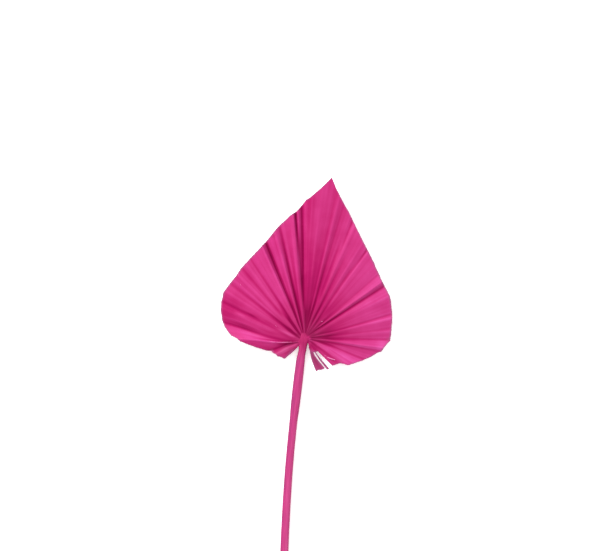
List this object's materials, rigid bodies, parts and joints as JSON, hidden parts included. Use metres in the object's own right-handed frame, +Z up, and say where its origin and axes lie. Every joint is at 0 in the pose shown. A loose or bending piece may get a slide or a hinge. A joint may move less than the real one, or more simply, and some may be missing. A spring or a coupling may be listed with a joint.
{
  "type": "fan palm leaf",
  "caption": "Dried fan palm leaf, dyed and trimmed to a pointed spear shape, with a pleated blade on a long slender stalk, lying face up.",
  "frame": {"origin": "the middle of the leaf's outline as seen from above, on the surface it lies on", "axes": "+Z up from the surface, out of the blade's upper face; +Y along the stalk from its cut end to the blade's tip; +X to the right as seen from above with the tip away from the viewer"},
  "size_m": [0.1381, 0.429, 0.0109],
  "materials": {
    "dyed_palm": "matte",
    "bare_palm": "matte"
  },
  "bodies": {
    "root": {"dyed_leaf": "dyed_palm", "bare_stalk_end": "bare_palm"}
  },
  "joints": []
}
